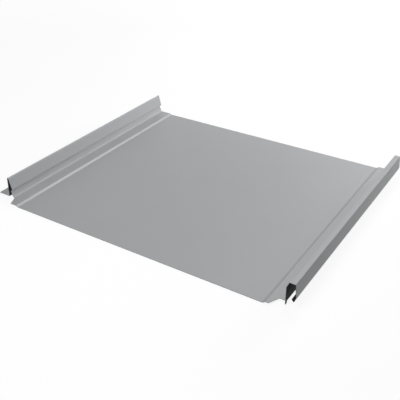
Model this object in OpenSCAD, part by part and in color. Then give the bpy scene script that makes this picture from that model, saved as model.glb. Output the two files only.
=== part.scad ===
// Self-locking standing seam roof panel, roll-formed from one strip of coated steel.
// The low side carries the rib that the next panel clicks over, with a slotted nailing
// flange outside it. The high side carries the open cover rib that hooks under that rib's
// barb. X runs across the panel from the low rib to the cover rib, Y from the eave end to
// the ridge end, and Z up. The origin is at the centre of the panel's box, on its underside.

/* [Sheet] */
// Thickness of the coated sheet
sheet_t = 0.5; // [0.4:0.05:0.7]
// Length of the panel along its seams
panel_l = 410; // [300:5:3000]
// Covering width: the distance from one seam to the next
cover_pitch = 475; // [250:5:600]
// Inside radius of the tight bends
bend_r = 0.5; // [0.3:0.1:0.6]
// Inside radius of the soft bends beside the pan
soft_r = 2; // [0.5:0.1:3]

/* [Lock rib] */
// Width of the nailing flange outside the rib
flange_w = 21.4; // [16:0.2:30]
// Rise of the flange and of the strip beside the rib above the pan
lock_rise = 1.85; // [1:0.05:2.5]
// Height of the rib above its strip
rib_h = 31.75; // [26:0.25:45]
// How far the rib's outer wall leans inwards over its height
rib_lean = 0.8; // [0:0.1:1.5]
// Width of the rib's rounded top
rib_top_w = 2.4; // [2.3:0.1:3]
// Inside radius at the rounded inner edge of the top
rib_top_r = 1; // [0.5:0.1:1.1]
// How far the barb's tip reaches from the foot of the outer wall
barb_reach = 8.4; // [7:0.1:10]
// Height of the barb's tip above the strip
barb_h = 12.75; // [11:0.25:16]
// Depth of the undercut below the barb
undercut_w = 3.8; // [2:0.1:5]
// Fall of the barb's underside from its tip to the undercut
undercut_fall = 2.8; // [1.5:0.1:4]
// Distance between the feet of the rib's two walls
rib_foot_w = 8.8; // [7:0.1:11]
// Inside radius of the softer bend at the foot of the inner wall
rib_foot_r = 2.6; // [0.5:0.1:3]
// Width of the raised strip inside the rib
lock_strip_w = 20.4; // [12:0.2:30]
// Run of the step from that strip down to the pan
lock_step_w = 4.2; // [3:0.1:8]

/* [Cover rib] */
// Gap between the walls of the cover rib and of the rib inside it
seam_gap = 2.5; // [1.5:0.1:4]
// Gap between the cover rib's top and the top of the rib inside it
top_gap = 0.6; // [0.3:0.1:2]
// Gap between the cover rib's outer wall and the barb's tip
barb_gap = 1.9; // [1:0.1:3]
// Rise of the strip beside the cover rib above the pan
cover_rise = 2.7; // [2.4:0.1:4]
// Width of that strip, which lies over the next panel's flange
cover_strip_w = 21; // [12:0.2:30]
// Run of the step from that strip down to the pan
cover_step_w = 4.2; // [3:0.1:8]
// Width of the chamfer between the cover rib's wall and its top
chamfer_w = 3.6; // [2:0.1:4]
// Height of that chamfer
chamfer_h = 8.2; // [5:0.1:10]
// Width of the cover rib's flat top
cover_top_w = 8.4; // [7:0.1:10]
// Height of the bend where the outer wall turns in, above the barb's tip
hook_above = 0.3; // [0:0.1:3]
// How far the hook's fold lies inside the bend of the outer wall
hook_in = 2.7; // [2:0.1:4]
// Rise of the hook's lip from its fold
lip_rise = 4.5; // [2:0.1:6]
// Gap between the lip's end and the undercut, measured across the panel
lip_reach_gap = 0.5; // [0.3:0.1:1.5]
// Gap between the lip's end and the barb's underside above it
lip_top_gap = 0.5; // [0.3:0.1:1.5]

/* [Ends] */
// Depth of the corner notches that free the pan's tongue at the eave end
notch_l = 15.3; // [8:0.1:30]
// Gap between the lock rib's foot and the tongue at the bottom of its notch
notch_gap = 2; // [1:0.1:5]
// How far the tongue's low corner is cut back from the bottom of its notch
low_corner_w = 7.4; // [0:0.1:9]
// Width of the notch beside the cover rib
high_notch_w = 9.2; // [4:0.1:16]
// How far the tongue's high corner is cut back from the bottom of its notch
high_corner_w = 7.6; // [0:0.1:9]
// How far the cover rib stands out past the notch at the eave end
nose_l = 4.2; // [1:0.1:7]
// How far the cover rib stops short of the ridge end
ridge_setback = 7.4; // [2:0.1:20]
// Clearance below the cover rib's free wall at the eave end
nose_gap = 0.2; // [0.1:0.1:1]

/* [Nailing slots] */
// Spacing of the slots along the flange
slot_pitch = 65; // [40:1:150]
// Overall length of each slot
slot_l = 25; // [10:1:30]
// Width of each slot
slot_w = 5; // [4:0.1:8]
// Least distance from either end of the flange to the middle of a slot
slot_margin = 30; // [20:1:60]

/* [Hidden] */

$fn = 48;
BEND_STEP = 15;     // turn of the sheet between two facets of a bend, in degrees
CUT_OVER = 1;       // how far a cutter runs past what it cuts

rib_top_z = lock_rise + rib_h;
barb_z = lock_rise + barb_h;
undercut_x = barb_reach - undercut_w;
undercut_z = barb_z - undercut_fall;
lock_step_x = rib_foot_w + lock_strip_w;

wall_x = cover_pitch - seam_gap - sheet_t;
cover_strip_x = wall_x - cover_strip_w;
cover_top_z = rib_top_z + top_gap + sheet_t;
cover_top_x = wall_x + chamfer_w;
outer_x = cover_pitch + barb_reach + barb_gap + sheet_t;
lip_x = cover_pitch + undercut_x + lip_reach_gap;
lip_z = undercut_z + lip_reach_gap * undercut_fall / undercut_w - lip_top_gap;

// The upper face of the sheet, one point for each bend: [x, z, inside radius of the bend]
LOCK_RIB = [
    [-flange_w, lock_rise, 0],
    [0, lock_rise, bend_r],
    [rib_lean, rib_top_z, bend_r],
    [rib_lean + rib_top_w, rib_top_z, rib_top_r],
    [barb_reach, barb_z, bend_r],
    [undercut_x, undercut_z, bend_r],
    [rib_foot_w, lock_rise, rib_foot_r]
];
PAN = [
    [lock_step_x, lock_rise, soft_r],
    [lock_step_x + lock_step_w, 0, soft_r],
    [cover_strip_x - cover_step_w, 0, soft_r],
    [cover_strip_x, cover_rise, soft_r]
];
COVER_WALL = [[wall_x, cover_rise, bend_r]];
COVER_RIB = [
    [wall_x, cover_top_z - chamfer_h, bend_r],
    [cover_top_x, cover_top_z, bend_r],
    [cover_top_x + cover_top_w, cover_top_z, bend_r],
    [outer_x, barb_z + hook_above, bend_r],
    [outer_x - hook_in, lip_z - lip_rise, bend_r],
    [lip_x, lip_z, 0]
];

flange_l = panel_l - notch_l;
slot_n = floor((flange_l - 2 * slot_margin) / slot_pitch) + 1;

box_mid_x = (outer_x - flange_w) / 2;

function flat(p) = [p[0], p[1]];
function heading(a, b) = atan2(b[1] - a[1], b[0] - a[0]);
function turn(a, b) = let (d = b - a) d > 180 ? d - 360 : d < -180 ? d + 360 : d;
function toward(angle) = [cos(angle), sin(angle)];

// Points of the bend at p on the side of the sheet that lies depth below its upper face.
// Both sides share the bend's centre, so the sheet keeps its thickness round the bend.
function bend(before, p, after, depth) =
    let (
        go_in = heading(before, p),
        swing = turn(go_in, heading(p, after)),
        side = swing < 0 ? -90 : 90,
        face_r = p[2] + (swing < 0 ? sheet_t : 0),
        side_r = face_r + (swing < 0 ? -depth : depth),
        centre = flat(p) + face_r / cos(swing / 2) * toward(go_in + swing / 2 + side),
        steps = max(1, ceil(abs(swing) / BEND_STEP))
    )
    [for (i = [0:steps]) centre - side_r * toward(go_in + side + swing * i / steps)];

// One side of the sheet along a run of bends, square at both free ends
function run_side(run, depth) =
    let (
        last = len(run) - 1,
        out = heading(run[0], run[1]) - 90,
        home = heading(run[last - 1], run[last]) - 90
    )
    concat(
        [flat(run[0]) + depth * toward(out)],
        [for (i = [1:last - 1]) each bend(run[i - 1], run[i], run[i + 1], depth)],
        [flat(run[last]) + depth * toward(home)]
    );

function reversed(list) = [for (i = [len(list) - 1:-1:0]) list[i]];

// The sheet's section along a run of bends, stretched from one distance along Y to another
module rolled(run, from, to) {
    translate([0, to, 0])
        rotate([90, 0, 0])
            linear_extrude(to - from)
                polygon(concat(run_side(run, 0), reversed(run_side(run, sheet_t))));
}

// The whole section behind the notches. The cover rib is cut away at the ridge end, along
// the near side of the bend at its foot.
module body_length() {
    cut_x = wall_x - bend_r;
    difference() {
        rolled(concat(LOCK_RIB, PAN, COVER_WALL, COVER_RIB), notch_l, panel_l);
        translate([cut_x, panel_l - ridge_setback, 0])
            cube([outer_x - cut_x + CUT_OVER, ridge_setback + CUT_OVER, cover_top_z + CUT_OVER]);
    }
}

// The free end of the pan, which folds under at the eave
module tongue() {
    low_x = rib_foot_w + notch_gap;
    high_x = wall_x - high_notch_w;
    intersection() {
        rolled(
            concat([[rib_foot_w, lock_rise, 0]], PAN, [[wall_x, cover_rise, 0]]),
            0, notch_l
        );
        translate([0, 0, -sheet_t - CUT_OVER])
            linear_extrude(cover_rise + sheet_t + 2 * CUT_OVER)
                polygon([
                    [low_x + low_corner_w, 0],
                    [high_x - high_corner_w, 0],
                    [high_x, notch_l],
                    [low_x, notch_l]
                ]);
    }
}

// The end of the cover rib past the notch, with its wall free of the pan
module cover_nose() {
    rolled(concat([[wall_x, nose_gap - sheet_t, 0]], COVER_RIB), notch_l - nose_l, notch_l);
}

// One nailing slot with round ends, centred on the origin
module slot() {
    run = slot_l - slot_w;
    translate([-slot_w / 2, -run / 2, -CUT_OVER])
        cube([slot_w, run, sheet_t + 2 * CUT_OVER]);
    for (end = [-1, 1])
        translate([0, end * run / 2, -CUT_OVER])
            cylinder(d = slot_w, h = sheet_t + 2 * CUT_OVER);
}

// A row of slots down the middle of the flange, centred between its ends
module nailing_slots() {
    first_y = notch_l + (flange_l - (slot_n - 1) * slot_pitch) / 2;
    for (i = [0:slot_n - 1])
        translate([-flange_w / 2, first_y + i * slot_pitch, lock_rise - sheet_t])
            slot();
}

module roof_panel() {
    color([0.62, 0.63, 0.64])
        translate([-box_mid_x, -panel_l / 2, sheet_t])
            difference() {
                union() {
                    body_length();
                    tongue();
                    cover_nose();
                }
                nailing_slots();
            }
}

roof_panel();
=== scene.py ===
# %% [markdown]
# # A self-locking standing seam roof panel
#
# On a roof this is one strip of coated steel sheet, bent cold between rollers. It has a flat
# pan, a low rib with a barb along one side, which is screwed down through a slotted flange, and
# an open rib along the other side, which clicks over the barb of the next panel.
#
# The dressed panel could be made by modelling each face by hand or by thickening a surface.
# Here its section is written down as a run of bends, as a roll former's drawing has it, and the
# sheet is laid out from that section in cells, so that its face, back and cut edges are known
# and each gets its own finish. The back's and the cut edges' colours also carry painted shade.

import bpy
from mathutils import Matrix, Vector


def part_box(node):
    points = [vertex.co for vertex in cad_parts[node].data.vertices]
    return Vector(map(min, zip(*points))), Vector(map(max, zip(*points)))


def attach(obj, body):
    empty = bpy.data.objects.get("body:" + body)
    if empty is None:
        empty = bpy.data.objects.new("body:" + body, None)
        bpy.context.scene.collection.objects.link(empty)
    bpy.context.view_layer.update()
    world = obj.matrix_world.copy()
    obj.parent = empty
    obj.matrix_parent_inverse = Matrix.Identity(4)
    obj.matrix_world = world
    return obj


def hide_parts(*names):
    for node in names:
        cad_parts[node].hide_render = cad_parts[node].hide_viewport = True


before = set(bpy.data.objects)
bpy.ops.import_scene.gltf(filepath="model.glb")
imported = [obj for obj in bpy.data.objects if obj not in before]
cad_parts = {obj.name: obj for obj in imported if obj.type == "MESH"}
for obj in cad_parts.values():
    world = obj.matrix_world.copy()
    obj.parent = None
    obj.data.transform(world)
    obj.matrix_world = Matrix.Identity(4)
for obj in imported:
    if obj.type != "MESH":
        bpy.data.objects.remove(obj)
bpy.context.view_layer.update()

# %% [markdown]
# ## The drawing and the frame
#
# A roll former's drawing is in millimetres, with its zero at the foot of the low rib's outer
# wall: X runs across the sheet, Y from the eave end to the ridge end, and heights are taken
# from the upper face of the pan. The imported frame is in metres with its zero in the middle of
# the panel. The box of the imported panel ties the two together, so no place is fitted by eye.

# %% From the drawing's millimetres to the frame's metres
from mathutils import Vector

MM = 0.001
SHEET_T = 0.5
FLANGE_W = 21.4
low_corner_of_box, high_corner_of_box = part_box("roof_panel")
panel_l = (high_corner_of_box.y - low_corner_of_box.y) / MM
cover_top_z = (high_corner_of_box.z - low_corner_of_box.z) / MM - SHEET_T


def in_frame(x, y, z):
    """A point of the drawing, in the frame's metres."""
    return low_corner_of_box + Vector((x + FLANGE_W, y, z + SHEET_T)) * MM


print(f"panel {panel_l:.1f} mm long, cover rib {cover_top_z:.2f} mm above the pan")

# %% [markdown]
# ## The lock rib
#
# The flange lies on the roof boards, and the rib stands up beside it. Its outer wall leans in a
# little, its top is narrow and round, and its inner wall runs out to a barb and back under it,
# where the next panel's hook catches. The bend at that wall's foot is softer than the others.
# Each point here is where two flats of the upper face would meet if the sheet had no radius
# there, with the inside radius of the bend.

# %% Bends of the lock rib
TIGHT_R = 0.5
TOP_R = 1.0
FOOT_R = 2.6
TOP_GAP = 0.6
LOCK_RISE = 1.85
LOCK_LEAN = 0.8
LOCK_TOP_W = 2.4
BARB_REACH = 8.4
BARB_H = 12.75
UNDERCUT_W = 3.8
UNDERCUT_FALL = 2.8
LOCK_FOOT_W = 8.8

lock_top_z = cover_top_z - TOP_GAP - SHEET_T
barb_z = LOCK_RISE + BARB_H
undercut_x = BARB_REACH - UNDERCUT_W
undercut_z = barb_z - UNDERCUT_FALL
lock_rib = [
    (-FLANGE_W, LOCK_RISE, 0),
    (0, LOCK_RISE, TIGHT_R),
    (LOCK_LEAN, lock_top_z, TIGHT_R),
    (LOCK_LEAN + LOCK_TOP_W, lock_top_z, TOP_R),
    (BARB_REACH, barb_z, TIGHT_R),
    (undercut_x, undercut_z, TIGHT_R),
    (LOCK_FOOT_W, LOCK_RISE, FOOT_R),
]
print(f"lock rib: {len(lock_rib)} points, top at {lock_top_z:.2f} mm, barb at {barb_z:.2f} mm")

# %% [markdown]
# ## The pan
#
# The pan is the wide flat that carries the water. A low strip stands a little above it beside
# each rib, because the next panel's flange lies under one of them, and a soft step leads down
# from each strip. The two steps also stiffen the wide flat.

# %% Bends of the pan
COVER_PITCH = 475.0
SOFT_R = 2.0
LOCK_STRIP_W = 20.4
LOCK_STEP_W = 4.2
COVER_STEP_W = 4.2
COVER_STRIP_W = 21.0
COVER_RISE = 2.7
SEAM_GAP = 2.5

lock_step_x = LOCK_FOOT_W + LOCK_STRIP_W
wall_x = COVER_PITCH - SEAM_GAP - SHEET_T
cover_strip_x = wall_x - COVER_STRIP_W
pan = [
    (lock_step_x, LOCK_RISE, SOFT_R),
    (lock_step_x + LOCK_STEP_W, 0, SOFT_R),
    (cover_strip_x - COVER_STEP_W, 0, SOFT_R),
    (cover_strip_x, COVER_RISE, SOFT_R),
]
print(f"pan: {pan[2][0] - pan[1][0]:.1f} mm flat between its steps")

# %% [markdown]
# ## The cover rib
#
# This rib is open below. One wall stands on the raised strip, a chamfer leads to a flat top, and
# the outer wall comes down to a bend that turns in, folds back up and ends in a short lip. The
# lip's end stands just under the barb of the rib that it covers. Its places follow from the
# lock rib's by the covering width and the gaps between the two ribs.

# %% Bends of the cover rib
BARB_GAP = 1.9
CHAMFER_W = 3.6
CHAMFER_H = 8.2
COVER_TOP_W = 8.4
HOOK_ABOVE = 0.3
HOOK_IN = 2.7
LIP_RISE = 4.5
LIP_REACH_GAP = 0.5
LIP_TOP_GAP = 0.5

outer_x = COVER_PITCH + BARB_REACH + BARB_GAP + SHEET_T
lip_x = COVER_PITCH + undercut_x + LIP_REACH_GAP
lip_z = undercut_z + LIP_REACH_GAP * UNDERCUT_FALL / UNDERCUT_W - LIP_TOP_GAP
cover_rib = [
    (wall_x, COVER_RISE, TIGHT_R),
    (wall_x, cover_top_z - CHAMFER_H, TIGHT_R),
    (wall_x + CHAMFER_W, cover_top_z, TIGHT_R),
    (wall_x + CHAMFER_W + COVER_TOP_W, cover_top_z, TIGHT_R),
    (outer_x, barb_z + HOOK_ABOVE, TIGHT_R),
    (outer_x - HOOK_IN, lip_z - LIP_RISE, TIGHT_R),
    (lip_x, lip_z, 0),
]
print(f"cover rib: wall at {wall_x:.1f} mm, outer bend at {outer_x:.1f} mm, lip at {lip_z:.2f} mm")

# %% [markdown]
# ## Stations round the bends
#
# Where sheet is bent, its face and its back share one centre, so its thickness stays the same
# round the bend. A rounded corner could come from a bevel modifier, but a bevel rounds face and
# back by the same radius and thins the sheet. So each bend is laid out as arcs. A station is one
# place along the section: its point on the face, its point on the back, and whether the sheet
# is bent there.

# %% One bend
import math
from collections import namedtuple

Station = namedtuple("Station", "face back bent")
TURN_STEP = math.radians(7.5)


def toward(angle):
    """The direction at an angle from X, in the plane of the section."""
    return Vector((math.cos(angle), math.sin(angle)))


def heading(a, b):
    """The angle in which the section runs from one of its points to the next."""
    return math.atan2(b[1] - a[1], b[0] - a[0])


def bend_stations(before, at, after):
    """The stations round the bend at one point of the section."""
    x, z, inside_r = at
    go_in = heading(before, at)
    swing = (heading(at, after) - go_in + math.pi) % (2 * math.pi) - math.pi
    side = math.copysign(math.pi / 2, swing)
    face_r = inside_r + (SHEET_T if swing < 0 else 0)
    back_r = inside_r + (0 if swing < 0 else SHEET_T)
    centre = Vector((x, z)) + toward(go_in + swing / 2 + side) * (face_r / math.cos(swing / 2))
    steps = math.ceil(abs(swing) / TURN_STEP)
    spokes = [toward(go_in + side + swing * i / steps) for i in range(steps + 1)]
    return [Station(centre - s * face_r, centre - s * back_r, 1.0) for s in spokes]


print(f"a station at least every {math.degrees(TURN_STEP):.1f} degrees of a bend")

# %% [markdown]
# ## The whole section
#
# Between two bends the sheet is flat. Smooth shading would carry a bend's roundness out over the
# flat beside it, so a station holds each flat a little way from the bend. It stands close to
# the bend, because no station may lie where the tongue's slanting side edges will pass. The
# finished list runs from the flange's free edge to the lip's.

# %% All the stations
HOLD = 0.25
LARGEST_SHARE = 1 / 3


def free_edge(at, other, outward):
    """The station at a free edge of the sheet, which is cut square."""
    out = toward(heading(at, other) + outward)
    return Station(Vector(at[:2]), Vector(at[:2]) + out * SHEET_T, 0.0)


def along(a, b, share):
    """The station part of the way from one to the next, on the flat between them."""
    return Station(a.face.lerp(b.face, share), a.back.lerp(b.back, share), 0.0)


def flat_between(a, b):
    """The stations that hold the flat between two others."""
    share = min(HOLD / (b.face - a.face).length, LARGEST_SHARE)
    held = [(a.bent, share), (b.bent, 1 - share)]
    return [along(a, b, part) for bent, part in held if bent]


def section_stations(points):
    """Every station of the section, from one free edge to the other."""
    made = [free_edge(points[0], points[1], -math.pi / 2)]
    for before, at, after in zip(points, points[1:], points[2:]):
        bend = bend_stations(before, at, after)
        made += flat_between(made[-1], bend[0]) + bend
    end = free_edge(points[-1], points[-2], math.pi / 2)
    return made + flat_between(made[-1], end) + [end]


stations = section_stations(lock_rib + pan + cover_rib)
middle = [(s.face + s.back) / 2 for s in stations]
girth = sum((b - a).length for a, b in zip(middle, middle[1:]))
print(f"{len(stations)} stations; the strip was {girth:.1f} mm wide before it was rolled")

# %% [markdown]
# ## What is cut before rolling
#
# The flat strip's corners are notched at the eave end, so that the pan's tongue can fold under
# the edge of the roof while both ribs run free of it. The cover rib stops short at the ridge
# end, where the next sheet or a flashing comes. The lengths below are taken along Y from the
# tongue's front edge. Three more stations go in where a cut needs one: the middle of the
# flange, for the slots, and the two corners of the tongue.

# %% Cuts at the two ends
NOTCH_L = 15.3
NOTCH_GAP = 2.0
LOW_CORNER_W = 7.4
HIGH_NOTCH_W = 9.2
HIGH_CORNER_W = 7.6
NOSE_L = 4.2
NOSE_GAP = 0.2
RIDGE_SETBACK = 7.4

slot_x = -FLANGE_W / 2
tongue_low_x = LOCK_FOOT_W + NOTCH_GAP
tongue_high_x = wall_x - HIGH_NOTCH_W
nose_y = NOTCH_L - NOSE_L
ridge_y = panel_l - RIDGE_SETBACK


def add_station(x):
    """Adds a station at x on a flat, where the section passes that x only once."""
    i = next(i for i, s in enumerate(stations) if s.face.x > x)
    a, b = stations[i - 1], stations[i]
    stations.insert(i, along(a, b, (x - a.face.x) / (b.face.x - a.face.x)))


for x in (slot_x, tongue_low_x, tongue_high_x):
    add_station(x)
print(f"tongue {tongue_high_x - tongue_low_x:.1f} mm wide at its notches, {NOTCH_L} mm deep")

# %% Stations where a cut begins or ends
NEAR = 1e-4


def station_at(x, z):
    """The place in the list of the station whose face point is there."""
    here = Vector((x, z))
    return next(i for i, s in enumerate(stations) if (s.face - here).length < NEAR)


flange_middle = station_at(slot_x, LOCK_RISE)
low_corner = station_at(tongue_low_x, LOCK_RISE)
high_corner = station_at(tongue_high_x, COVER_RISE)
strip_end = station_at(wall_x - TIGHT_R, COVER_RISE)
wall_foot = station_at(wall_x, COVER_RISE + TIGHT_R)
lip_end = len(stations) - 1

nose_z = NOSE_GAP - SHEET_T
stations.append(Station(Vector((wall_x, nose_z)), Vector((wall_x + SHEET_T, nose_z)), 0.0))
nose_foot = len(stations) - 1
print("stations: tongue", low_corner, "to", high_corner, "wall from", wall_foot)

# %% [markdown]
# ## The nailing slots
#
# The screws go through long slots, so that the sheet can grow and shrink with the sun's heat
# without pushing them over. The slots are punched in a row down the middle of the flange. A
# boolean would leave thin triangles across the flange. Instead, each slot has its own cell of
# the flange, which is split down the middle so that the slot's outline is part of both halves.

# %% Places and outline of the slots
SLOT_PITCH = 65.0
SLOT_L = 25.0
SLOT_W = 5.0
SLOT_MARGIN = 30.0
SLOT_CELL_L = 30.0
QUARTER_STEPS = 8

flange_l = panel_l - NOTCH_L
slot_n = int((flange_l - 2 * SLOT_MARGIN) // SLOT_PITCH) + 1
first_slot_y = NOTCH_L + (flange_l - (slot_n - 1) * SLOT_PITCH) / 2
slot_middles = [first_slot_y + i * SLOT_PITCH for i in range(slot_n)]


def quarter(y, first):
    """Points of a quarter turn about the slot's middle line, clockwise from an angle in degrees."""
    turns = [math.radians(first - 90 * i / QUARTER_STEPS) for i in range(QUARTER_STEPS + 1)]
    return [(slot_x + SLOT_W / 2 * math.cos(t), y + SLOT_W / 2 * math.sin(t)) for t in turns]


def slot_sides(y):
    """The slot's outer side from its eave end to its ridge end, and its inner side back again."""
    near_y = y - (SLOT_L - SLOT_W) / 2
    far_y = y + (SLOT_L - SLOT_W) / 2
    outer = quarter(near_y, -90) + quarter(far_y, 180)
    inner = quarter(far_y, 90) + quarter(near_y, 0)
    return outer, inner


print(f"{slot_n} slots, {SLOT_L:.0f} x {SLOT_W:.0f} mm, first at {first_slot_y:.2f} mm")

# %% [markdown]
# ## The net of cells
#
# The sheet is now a net: the stations run one way and a few lines across the panel run the
# other way. A line lies wherever a cut starts or stops. Every crossing has a pair of points, one
# on the face and one on the back. The face is laid out once, and the back and the cut edges
# follow from it.

# %% Lines across the panel and pairs of points
slot_lines = [y + end * SLOT_CELL_L / 2 for y in slot_middles for end in (-1, 1)]
lines = [0.0, nose_y, NOTCH_L, *slot_lines, ridge_y, panel_l]
slot_of_line = {lines.index(y - SLOT_CELL_L / 2): y for y in slot_middles}
Pair = namedtuple("Pair", "over under bent")
pairs = []
pair_of = {}


def tongue_slide(i, y):
    """How far the tongue's slanting side moves its corner station at a line."""
    reach = {low_corner: LOW_CORNER_W, high_corner: -HIGH_CORNER_W}.get(i, 0)
    return reach * max(0.0, 1 - y / NOTCH_L)


def pair_at(key, station, x_shift, y):
    """The number of a pair of points, which is made when it is first asked for."""
    if key not in pair_of:
        pair_of[key] = len(pairs)
        face, back = station.face, station.back
        over = in_frame(face.x + x_shift, y, face.y)
        under = in_frame(back.x + x_shift, y, back.y)
        pairs.append(Pair(over, under, station.bent))
    return pair_of[key]


def crossing(i, j):
    """The pair of points where station i meets line j."""
    return pair_at((i, j), stations[i], tongue_slide(i, lines[j]), lines[j])


# %% [markdown]
# ## Which cells are sheet
#
# At the eave end there is only the tongue, and past the notch also the nose of the cover rib,
# whose wall hangs free. Then comes the whole section, and at the ridge end the section without
# the cover rib. The flange's two rows of cells hold the slots.

# %% Lay out the face
def plain_cell(i, k, j):
    """The corners of the cell from station i to station k, between line j and the next."""
    return [crossing(i, j), crossing(k, j), crossing(k, j + 1), crossing(i, j + 1)]


def slotted_cells(j):
    """The two halves of the flange that share the slot past line j."""
    on_flange = stations[flange_middle]
    sides = []
    for side in slot_sides(slot_of_line[j]):
        keys = [(round(x, 3), round(y, 3)) for x, y in side]
        places = zip(keys, side)
        sides.append([pair_at(key, on_flange, x - slot_x, y) for key, (x, y) in places])
    outer, inner = sides
    a, b, c, d = plain_cell(0, flange_middle, j)
    e, f, g, h = plain_cell(flange_middle, flange_middle + 1, j)
    return [[a, b, *outer, c, d], [e, f, g, h, *inner]]


face_cells = []
for j, (near, far) in enumerate(zip(lines, lines[1:])):
    spans = [(0, lip_end)]
    if far <= NOTCH_L:
        spans = [(low_corner, high_corner)]
        if near >= nose_y:
            face_cells.append(plain_cell(nose_foot, wall_foot, j))
            spans.append((wall_foot, lip_end))
    elif near >= ridge_y:
        spans = [(0, strip_end)]
    if j in slot_of_line:
        face_cells += slotted_cells(j)
        spans = [(flange_middle + 1, lip_end)]
    for first, last in spans:
        face_cells += [plain_cell(i, i + 1, j) for i in range(first, last)]
print(f"{len(face_cells)} cells on the face, {len(pairs)} pairs of points")

# %% [markdown]
# ## Face, back and cut edges
#
# The back is the same layout seen from behind, so each cell's corners are taken in reverse. An
# edge of the face that only one cell uses is a cut edge of the sheet, and a narrow quad joins it
# to the back. This closes the sheet all round with no stray face inside.

# %% Build the sheet
import bpy

FACE_COAT = 0
BACK_COAT = 1
CUT_EDGE = 2
SHARP_FROM = math.radians(30)


def cut_edges(cells):
    """The edges of the layout that only one cell uses, each turned the other way."""
    runs = {(a, b) for cell in cells for a, b in zip(cell, cell[1:] + cell[:1])}
    return sorted((b, a) for a, b in runs if (b, a) not in runs)


def build_sheet():
    """The whole panel as one closed mesh, with a slot for each finish."""
    n = len(pairs)
    back_cells = [[i + n for i in reversed(cell)] for cell in face_cells]
    rims = [[a, b, b + n, a + n] for a, b in cut_edges(face_cells)]
    mesh = bpy.data.meshes.new("roof_panel_sheet")
    points = [pair.over for pair in pairs] + [pair.under for pair in pairs]
    mesh.from_pydata(points, [], face_cells + back_cells + rims)
    finishes = [FACE_COAT] * len(face_cells) + [BACK_COAT] * len(back_cells)
    finishes += [CUT_EDGE] * len(rims)
    mesh.polygons.foreach_set("material_index", finishes)
    bent = mesh.attributes.new("bent", "FLOAT", "POINT")
    bent.data.foreach_set("value", [pair.bent for pair in pairs] * 2)
    mesh.shade_smooth()
    mesh.set_sharp_from_angle(angle=SHARP_FROM)
    sheet = bpy.data.objects.new("roof_panel_sheet", mesh)
    bpy.context.collection.objects.link(sheet)
    return sheet


sheet = build_sheet()
print(f"sheet: {len(sheet.data.polygons)} faces")

# %% [markdown]
# ## Measure the sheet
#
# A closed sheet has a volume, which gives its weight. That is a quick test of the whole layout:
# a face turned the wrong way or left out would spoil the volume at once.

# %% Volume and weight
import bmesh

STEEL_DENSITY = 7850


def volume_of(obj):
    """The volume that a closed mesh holds, in cubic metres."""
    measured = bmesh.new()
    measured.from_mesh(obj.data)
    open_edges = [e for e in measured.edges if not e.is_manifold]
    volume = measured.calc_volume(signed=True)
    measured.free()
    print("open edges:", len(open_edges))
    return volume


volume = volume_of(sheet)
print(f"volume {volume * 1e6:.3f} cm3, weight {volume * STEEL_DENSITY:.3f} kg")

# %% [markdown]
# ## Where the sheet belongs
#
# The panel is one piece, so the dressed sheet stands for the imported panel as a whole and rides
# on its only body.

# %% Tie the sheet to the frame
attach(sheet, "root")
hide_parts("roof_panel")
print(sheet.name, "rides on root and stands for roof_panel")

# %% [markdown]
# ## Helpers for the finishes
#
# A finish here is a small graph of shader nodes. Three helpers keep those graphs readable: one
# adds a node with its settings, one starts a material at its Principled BSDF, and one starts a
# node group with named sockets.

# %% Node helpers
def add_node(tree, kind, place, **settings):
    """A node of that kind in a tree, with its settings."""
    node = tree.nodes.new(kind)
    node.location = place
    for name, value in settings.items():
        setattr(node, name, value)
    return node


def new_finish(name):
    """A material with its tree and its Principled BSDF."""
    material = bpy.data.materials.new(name)
    material.use_nodes = True
    tree = material.node_tree
    return material, tree, tree.nodes["Principled BSDF"]


def new_group(name, inputs, outputs):
    """A node group with named sockets, its tree, and its two end nodes."""
    tree = bpy.data.node_groups.new(name, "ShaderNodeTree")
    for socket, kind, value in inputs:
        made = tree.interface.new_socket(socket, in_out="INPUT", socket_type=kind)
        if value is not None:
            made.default_value = value
    for socket, kind in outputs:
        tree.interface.new_socket(socket, in_out="OUTPUT", socket_type=kind)
    start = add_node(tree, "NodeGroupInput", (-900, 0))
    end = add_node(tree, "NodeGroupOutput", (900, 0))
    return tree, start, end


# %% [markdown]
# ## Coat grain
#
# Coil coating is rolled on wet and baked, so it is even, but not perfect. It has a fine orange
# peel, a cloudiness that is only just there, and faint lines along the rolling direction. A
# noise texture could go straight into each material, but both coats have the same faults at
# different strengths. So this is a group, and each coat sets its own values. Most of a noise
# lies between 0.3 and 0.7, so that spread is what a range stretches unless it is told another.

# %% Noise, ranges and sums
MOST_OF_NOISE = (0.3, 0.7)


def noise(tree, place, scale, detail, vector):
    """A noise texture at a number of grains per metre."""
    node = add_node(tree, "ShaderNodeTexNoise", place)
    node.inputs["Scale"].default_value = scale
    node.inputs["Detail"].default_value = detail
    tree.links.new(vector, node.inputs["Vector"])
    return node.outputs["Fac"]


def map_range(tree, place, source, low, high, spread=MOST_OF_NOISE):
    """A node that maps a spread of its source to a range from low to high."""
    node = add_node(tree, "ShaderNodeMapRange", place)
    node.inputs["From Min"].default_value = spread[0]
    node.inputs["From Max"].default_value = spread[1]
    node.inputs["To Min"].default_value = low
    node.inputs["To Max"].default_value = high
    tree.links.new(source, node.inputs["Value"])
    return node.outputs["Result"]


def maths(tree, operation, place, a, b):
    """A maths node whose two values may be numbers or sockets."""
    node = add_node(tree, "ShaderNodeMath", place, operation=operation)
    for socket, value in zip(node.inputs, (a, b)):
        if isinstance(value, (int, float)):
            socket.default_value = value
        else:
            tree.links.new(value, socket)
    return node.outputs["Value"]


# %% The coat grain group
PEEL_PER_M = 900.0
CLOUD_PER_M = 14.0
LINE_STRETCH = (260.0, 3.0, 260.0)


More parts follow.
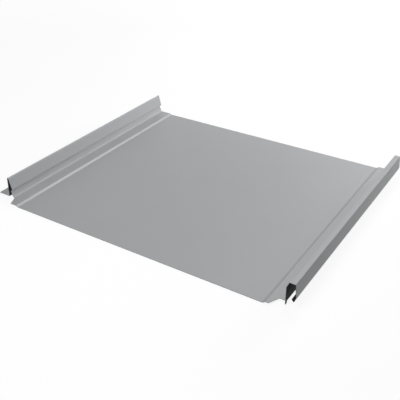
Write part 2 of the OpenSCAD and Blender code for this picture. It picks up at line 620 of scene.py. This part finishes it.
def coat_grain_group():
    """Colour, roughness and height of a rolled and baked coat."""
    tree, start, end = new_group(
        "coat grain",
        [
            ("Position", "NodeSocketVector", None),
            ("Colour", "NodeSocketColor", (0.4, 0.4, 0.4, 1)),
            ("Roughness", "NodeSocketFloat", 0.5),
            ("Cloud", "NodeSocketFloat", 0.02),
            ("Lines", "NodeSocketFloat", 0.01),
        ],
        [
            ("Colour", "NodeSocketColor"),
            ("Roughness", "NodeSocketFloat"),
            ("Height", "NodeSocketFloat"),
        ],
    )
    where = start.outputs["Position"]
    stretch = add_node(tree, "ShaderNodeMapping", (-700, -300))
    stretch.inputs["Scale"].default_value = LINE_STRETCH
    tree.links.new(where, stretch.inputs["Vector"])
    peel = noise(tree, (-500, 300), PEEL_PER_M, 1.0, where)
    cloud = noise(tree, (-500, 0), CLOUD_PER_M, 2.0, where)
    line = noise(tree, (-500, -300), 1.0, 2.0, stretch.outputs["Vector"])
    cloud_swing = map_range(tree, (-250, 0), cloud, -1, 1)
    line_swing = map_range(tree, (-250, -300), line, -1, 1)
    cloud_part = maths(tree, "MULTIPLY", (0, 0), cloud_swing, start.outputs["Cloud"])
    line_part = maths(tree, "MULTIPLY", (0, -300), line_swing, start.outputs["Lines"])
    both = maths(tree, "ADD", (200, -150), cloud_part, line_part)
    brighter = maths(tree, "ADD", (350, 0), both, 1.0)
    rougher = maths(tree, "ADD", (350, -250), both, start.outputs["Roughness"])
    shade = add_node(tree, "ShaderNodeVectorMath", (500, 150), operation="SCALE")
    tree.links.new(start.outputs["Colour"], shade.inputs["Vector"])
    tree.links.new(brighter, shade.inputs["Scale"])
    tree.links.new(shade.outputs["Vector"], end.inputs["Colour"])
    tree.links.new(rougher, end.inputs["Roughness"])
    tree.links.new(peel, end.inputs["Height"])
    return tree


coat_grain = coat_grain_group()
print("coat grain group:", len(coat_grain.nodes), "nodes")

# %% [markdown]
# ## Roller burnish
#
# Where the sheet is bent, the forming rollers press hardest. They leave the coat a little
# smoother there, and the stretched paint a little paler. The mesh carries the attribute "bent",
# which is 1 round each bend and 0 on the flats, and this group turns it into that wear.

# %% The roller burnish group
WEAR_PER_M = 120.0


def roller_burnish_group():
    """Colour and roughness of a coat, changed where the rollers bent it."""
    tree, start, end = new_group(
        "roller burnish",
        [
            ("Position", "NodeSocketVector", None),
            ("Colour", "NodeSocketColor", (0.4, 0.4, 0.4, 1)),
            ("Roughness", "NodeSocketFloat", 0.5),
            ("Paler", "NodeSocketFloat", 0.05),
            ("Smoother", "NodeSocketFloat", 0.08),
        ],
        [("Colour", "NodeSocketColor"), ("Roughness", "NodeSocketFloat")],
    )
    bent = add_node(tree, "ShaderNodeAttribute", (-700, -300), attribute_name="bent")
    uneven = noise(tree, (-700, 200), WEAR_PER_M, 2.0, start.outputs["Position"])
    patchy = map_range(tree, (-450, 200), uneven, 0.5, 1.0)
    worn = maths(tree, "MULTIPLY", (-250, 0), bent.outputs["Fac"], patchy)
    paler = maths(tree, "MULTIPLY", (0, 100), worn, start.outputs["Paler"])
    shade = add_node(tree, "ShaderNodeVectorMath", (500, 150), operation="SCALE")
    tree.links.new(start.outputs["Colour"], shade.inputs["Vector"])
    tree.links.new(maths(tree, "ADD", (250, 100), paler, 1.0), shade.inputs["Scale"])
    tree.links.new(shade.outputs["Vector"], end.inputs["Colour"])
    smoother = maths(tree, "MULTIPLY", (0, -200), worn, start.outputs["Smoother"])
    rough = maths(tree, "SUBTRACT", (250, -200), start.outputs["Roughness"], smoother)
    tree.links.new(rough, end.inputs["Roughness"])
    return tree


roller_burnish = roller_burnish_group()
print("roller burnish group:", len(roller_burnish.nodes), "nodes")

# %% [markdown]
# ## The two coats
#
# The face has a satin polyester coat in light grey, about 25 micrometres thick. The back has a
# thin, matt backing coat, which nobody sees once the roof is on. Its colour is partly its own and
# partly painted shade: it is darker than a real backing coat, to shade the insides of the ribs.
# They are made by one function, because they are the same kind of paint with other values.

# %% A coat
def coat_finish(name, colour, roughness, shine, cloud, lines, peel):
    """A rolled and baked coat on the sheet."""
    material, tree, shader = new_finish(name)
    where = add_node(tree, "ShaderNodeTexCoord", (-1200, 0)).outputs["Object"]
    grain = add_node(tree, "ShaderNodeGroup", (-900, 0), node_tree=coat_grain)
    grain.inputs["Colour"].default_value = (*colour, 1)
    grain.inputs["Roughness"].default_value = roughness
    grain.inputs["Cloud"].default_value = cloud
    grain.inputs["Lines"].default_value = lines
    worn = add_node(tree, "ShaderNodeGroup", (-600, 0), node_tree=roller_burnish)
    bump = add_node(tree, "ShaderNodeBump", (-300, -300))
    bump.inputs["Strength"].default_value = 1.0
    bump.inputs["Distance"].default_value = peel
    tree.links.new(where, grain.inputs["Position"])
    tree.links.new(where, worn.inputs["Position"])
    tree.links.new(grain.outputs["Colour"], worn.inputs["Colour"])
    tree.links.new(grain.outputs["Roughness"], worn.inputs["Roughness"])
    tree.links.new(grain.outputs["Height"], bump.inputs["Height"])
    tree.links.new(worn.outputs["Colour"], shader.inputs["Base Color"])
    tree.links.new(worn.outputs["Roughness"], shader.inputs["Roughness"])
    tree.links.new(bump.outputs["Normal"], shader.inputs["Normal"])
    shader.inputs["Specular IOR Level"].default_value = shine
    return material


# %% Face coat and backing coat
face_coat = coat_finish(
    "face_coat",
    colour=(0.36, 0.37, 0.38),
    roughness=0.38,
    shine=0.5,
    cloud=0.012,
    lines=0.006,
    peel=2e-6,
)
# The backing coat's dark colour is partly its own and partly painted shade for the insides of the
# ribs.
backing_coat_and_painted_shade = coat_finish(
    "backing_coat_and_painted_shade",
    colour=(0.1, 0.1, 0.102),
    roughness=0.75,
    shine=0.2,
    cloud=0.06,
    lines=0.03,
    peel=4e-6,
)
print("coats:", face_coat.name, "and", backing_coat_and_painted_shade.name)

# %% [markdown]
# ## The cut edge
#
# Shears and punches leave the steel bare: a bright smooth band where the blade cut and a duller
# torn band below it. Zinc smears over part of it. Half a millimetre of edge is too thin for
# modelled steps, so a metal with fine lines across the thickness stands for them. Its colours are
# far darker than bare steel: they are painted shade, so that the edge shows as a thin dark line.

# %% Sheared steel
EDGE_STRETCH = (1500.0, 1500.0, 250.0)
# Both edge colours are painted shade, far darker than bare sheared steel.
EDGE_PAINTED_SHADE_DARK = (0.025, 0.025, 0.026, 1)
EDGE_PAINTED_SHADE_LIGHT = (0.07, 0.07, 0.07, 1)


def cut_edge_finish():
    """Bare sheared steel with zinc smeared over it, darkened by painted shade."""
    material, tree, shader = new_finish("sheared_steel_painted_shade")
    where = add_node(tree, "ShaderNodeTexCoord", (-1200, 0)).outputs["Object"]
    stretch = add_node(tree, "ShaderNodeMapping", (-1000, 0))
    stretch.inputs["Scale"].default_value = EDGE_STRETCH
    tree.links.new(where, stretch.inputs["Vector"])
    lines_across = noise(tree, (-800, 0), 1.0, 3.0, stretch.outputs["Vector"])
    colour = add_node(tree, "ShaderNodeMix", (-400, 200), data_type="RGBA")
    colour.inputs["A"].default_value = EDGE_PAINTED_SHADE_DARK
    colour.inputs["B"].default_value = EDGE_PAINTED_SHADE_LIGHT
    tree.links.new(map_range(tree, (-600, 0), lines_across, 0, 1), colour.inputs["Factor"])
    tree.links.new(colour.outputs["Result"], shader.inputs["Base Color"])
    rough = map_range(tree, (-600, -300), lines_across, 0.4, 0.65)
    tree.links.new(rough, shader.inputs["Roughness"])
    shader.inputs["Metallic"].default_value = 0.6
    shader.inputs["Specular IOR Level"].default_value = 0.3
    return material


for finish in (face_coat, backing_coat_and_painted_shade, cut_edge_finish()):
    sheet.data.materials.append(finish)
print("finishes:", [m.name for m in sheet.data.materials])

# %% [markdown]
# ## The floor
#
# The panel is stored lying flat, so it lies on a plain pale floor. The floor is white where it
# is looked at, directly or in a reflection, and still takes a faint shadow. For the light that
# it gives back to the panel it is a plain grey, so that the walls near it aren't lit too much.
# The lamps light it less far from the panel, so its own glow grows there and it stays white.

# %% Floor
FLOOR_SIZE = 20.0
FLOOR_GLOW = 0.9
FLOOR_GREY = 0.12
GLOW_GROWS = (0.9, 2.1)


def looked_at(tree):
    """1 for a ray that looks at a surface, itself or in a reflection, and 0 for other light."""
    path = add_node(tree, "ShaderNodeLightPath", (-900, 300))
    seen = maths(
        tree, "MAXIMUM", (-600, 300), path.outputs["Is Camera Ray"], path.outputs["Is Glossy Ray"]
    )
    return maths(tree, "MAXIMUM", (-400, 300), seen, path.outputs["Is Transmission Ray"])


def floor_finish():
    """White to look at, with a faint shadow, and grey to other light."""
    material, tree, shader = new_finish("studio_floor")
    shader.inputs["Base Color"].default_value = (FLOOR_GREY, FLOOR_GREY, FLOOR_GREY, 1)
    shader.inputs["Roughness"].default_value = 1.0
    shader.inputs["Specular IOR Level"].default_value = 0.0
    where = add_node(tree, "ShaderNodeTexCoord", (-1200, 0)).outputs["Object"]
    away = add_node(tree, "ShaderNodeVectorMath", (-1000, 0), operation="LENGTH")
    tree.links.new(where, away.inputs[0])
    white = map_range(tree, (-600, 0), away.outputs["Value"], FLOOR_GLOW, 1.0, GLOW_GROWS)
    glow = maths(tree, "MULTIPLY", (-200, 300), looked_at(tree), white)
    shader.inputs["Emission Color"].default_value = (1, 1, 1, 1)
    tree.links.new(glow, shader.inputs["Emission Strength"])
    return material


def floor_plane():
    """A wide plane under the panel."""
    half = FLOOR_SIZE / 2
    corners = [(-half, -half, 0), (half, -half, 0), (half, half, 0), (-half, half, 0)]
    mesh = bpy.data.meshes.new("studio_floor")
    mesh.from_pydata(corners, [], [(0, 1, 2, 3)])
    floor = bpy.data.objects.new("studio_floor", mesh)
    bpy.context.collection.objects.link(floor)
    mesh.materials.append(floor_finish())
    return floor


floor = floor_plane()
print(f"floor: {FLOOR_SIZE:.0f} m wide, its glow grows from {GLOW_GROWS[0]} m to {GLOW_GROWS[1]} m")

# %% [markdown]
# ## Light
#
# Soft studio light. Most of it comes from low area lamps behind the panel, because the walls of
# the ribs stand up and are as light as the pan. One more lamp fills in from the front. The sky
# is white where it is looked at or reflected, like the floor, and gives no other light.

# %% World
def studio_world():
    """White to look at, and dark as a light."""
    world = bpy.data.worlds.new("studio")
    world.use_nodes = True
    tree = world.node_tree
    sky = tree.nodes["Background"]
    tree.links.new(looked_at(tree), sky.inputs["Strength"])
    sky.inputs["Color"].default_value = (1, 1, 1, 1)
    bpy.context.scene.world = world


studio_world()
print("world:", bpy.context.scene.world.name)

# %% [markdown]
# ## Lamps
#
# Each lamp hangs at a bearing and a height in degrees from the middle of the pan, some metres
# away, and is aimed at it. The low lamps would show in the coat as white patches from the front,
# so reflections leave them out, and the front lamp too. The two high ones stay in, and give the
# step beside the lock rib its bright line.

# %% Lamps
Lamp = namedtuple("Lamp", "name turned raised away size power mirrored")
LAMPS = [
    Lamp("wide_back_lamp", 70, 8, 2.2, 1.0, 40.2, False),
    Lamp("near_back_lamp", 75, 12.4, 1.17, 0.4, 11.4, False),
    Lamp("high_back_lamp", 96, 36, 2.2, 0.5, 2.9, True),
    Lamp("high_left_lamp", 102, 56, 2.2, 0.6, 10.1, True),
    Lamp("front_lamp", 270, 54.5, 0.86, 0.4, 2.9, False),
]


def hang_lamp(lamp):
    """A square area lamp at a bearing and a height from the middle of the pan, and aimed at it."""
    turned = math.radians(lamp.turned)
    raised = math.radians(lamp.raised)
    out = Vector((math.cos(turned), math.sin(turned), 0)) * math.cos(raised)
    out.z = math.sin(raised)
    light = bpy.data.lights.new(lamp.name, "AREA")
    light.size = lamp.size
    light.energy = lamp.power
    holder = bpy.data.objects.new(lamp.name, light)
    holder.location = out * lamp.away
    holder.rotation_euler = (-out).to_track_quat("-Z", "Y").to_euler()
    holder.visible_camera = False
    holder.visible_glossy = lamp.mirrored
    bpy.context.collection.objects.link(holder)


for lamp in LAMPS:
    hang_lamp(lamp)
print("lamps:", [lamp.name for lamp in LAMPS])

# %% [markdown]
# ## The camera
#
# It stands off the eave end, beyond the cover rib, and looks down along the panel, so that the
# ends of both ribs show.

# %% Camera
EYE = (0.4818, -0.7689, 0.5161)
TURNED_LEFT = math.radians(32.3)
TILTED_DOWN = math.radians(30.9)
LENS = 58.94
SENSOR_W = 36.0
NEAREST_SEEN = 0.01


def stand_camera():
    """The camera, level from side to side."""
    camera = bpy.data.objects.new("camera", bpy.data.cameras.new("camera"))
    camera.data.lens = LENS
    camera.data.sensor_width = SENSOR_W
    camera.data.clip_start = NEAREST_SEEN
    camera.location = EYE
    camera.rotation_euler = (math.pi / 2 - TILTED_DOWN, 0, TURNED_LEFT)
    bpy.context.collection.objects.link(camera)
    return camera


bpy.context.scene.camera = stand_camera()
bpy.context.scene.view_settings.view_transform = "Standard"
print("camera:", EYE, "m, with a lens of", LENS, "mm")
